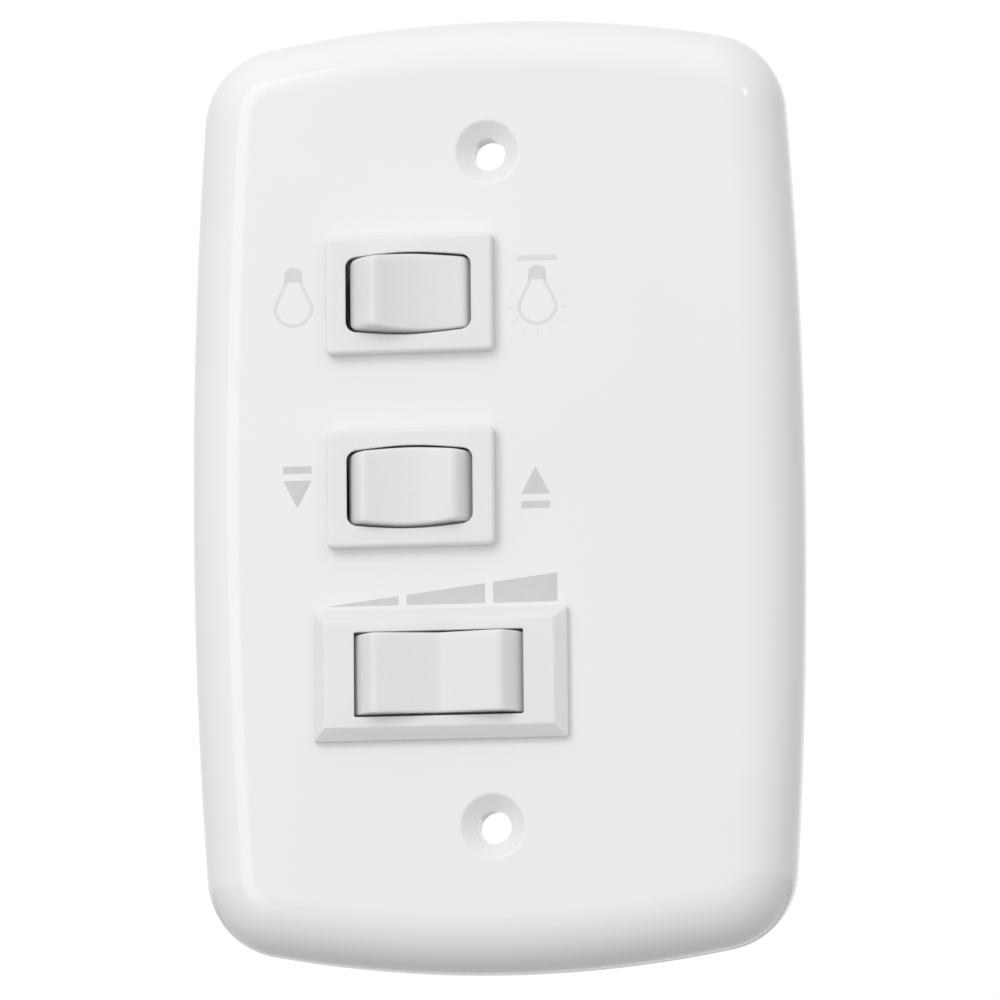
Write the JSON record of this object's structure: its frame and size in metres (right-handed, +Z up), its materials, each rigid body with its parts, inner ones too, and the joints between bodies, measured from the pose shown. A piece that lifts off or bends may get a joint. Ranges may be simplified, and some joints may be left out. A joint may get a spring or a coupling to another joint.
{
  "type": "fan speed control switch",
  "caption": "Bowed wall plate with small light and direction rockers, a wider speed rocker and a capacitor behind, for a ceiling fan.",
  "frame": {"origin": "centre of the plate on the wall plane, midway between the two fixing holes", "axes": "+Z up the wall, +X to the right as the user sees it, -Y out of the wall towards the user"},
  "size_m": [0.076, 0.0411, 0.1186],
  "materials": {
    "plate_plastic": "polished white ABS",
    "switch_body_plastic": "satin white nylon",
    "rocker_plastic": "satin white ABS",
    "plunger_plastic": "natural acetal",
    "spring_steel": "drawn spring wire",
    "contact_brass": "stamped",
    "contact_silver": "silver alloy",
    "terminal_brass": "stamped",
    "capacitor_plastic": "moulded black case",
    "tab_steel": "tinned"
  },
  "bodies": {
    "plate": {"wall_plate": "plate_plastic", "capacitor_case": "capacitor_plastic", "capacitor_tabs": "tab_steel", "light_housing": "switch_body_plastic", "light_common_terminal": "terminal_brass", "light_fixed_contacts": "contact_silver", "light_left_terminal": "terminal_brass", "reverse_housing": "switch_body_plastic", "reverse_common_terminal": "terminal_brass", "reverse_fixed_contacts": "contact_silver", "reverse_left_terminal": "terminal_brass", "reverse_right_terminal": "terminal_brass", "speed_housing": "switch_body_plastic", "speed_common_terminal": "terminal_brass", "speed_fixed_contacts": "contact_silver", "speed_left_terminal": "terminal_brass", "speed_right_terminal": "terminal_brass"},
    "light_rocker": {"light_rocker": "rocker_plastic", "light_plunger": "plunger_plastic", "light_spring": "spring_steel"},
    "light_bar": {"light_contact_bar": "contact_brass", "light_bar_contacts": "contact_silver"},
    "reverse_rocker": {"reverse_rocker": "rocker_plastic", "reverse_plunger": "plunger_plastic", "reverse_spring": "spring_steel"},
    "reverse_bar": {"reverse_contact_bar": "contact_brass", "reverse_bar_contacts": "contact_silver"},
    "speed_rocker": {"speed_rocker": "rocker_plastic", "speed_plunger": "plunger_plastic", "speed_spring": "spring_steel"},
    "speed_bar": {"speed_contact_bar": "contact_brass", "speed_bar_contacts": "contact_silver"}
  },
  "joints": [
    {"name": "light_rocker_tilt", "type": "hinge", "parent": "plate", "child": "light_rocker", "pos_m": [-0.00965, -0.0069, 0.024], "axis": [0, 0, 1], "range_deg": [-32, 0]},
    {"name": "light_bar_tilt", "type": "hinge", "parent": "plate", "child": "light_bar", "pos_m": [-0.00965, -0.00017, 0.024], "axis": [0, 0, 1], "range_deg": [0, 14]},
    {"name": "reverse_rocker_tilt", "type": "hinge", "parent": "plate", "child": "reverse_rocker", "pos_m": [-0.00965, -0.0069, 0], "axis": [0, 0, 1], "range_deg": [-16, 16]},
    {"name": "reverse_bar_tilt", "type": "hinge", "parent": "plate", "child": "reverse_bar", "pos_m": [-0.00965, -0.00017, 0], "axis": [0, 0, 1], "range_deg": [-7, 7]},
    {"name": "speed_rocker_tilt", "type": "hinge", "parent": "plate", "child": "speed_rocker", "pos_m": [-0.0062, -0.0044, -0.023], "axis": [0, 0, 1], "range_deg": [-12, 12]},
    {"name": "speed_bar_tilt", "type": "hinge", "parent": "plate", "child": "speed_bar", "pos_m": [-0.0062, 0.00453, -0.023], "axis": [0, 0, 1], "range_deg": [-7, 7]}
  ],
  "couplings": [
    {"joint": "light_bar_tilt", "follows": "light_rocker_tilt", "ratio": -0.4375},
    {"joint": "reverse_bar_tilt", "follows": "reverse_rocker_tilt", "ratio": -0.4375},
    {"joint": "speed_bar_tilt", "follows": "speed_rocker_tilt", "ratio": -0.58333}
  ]
}
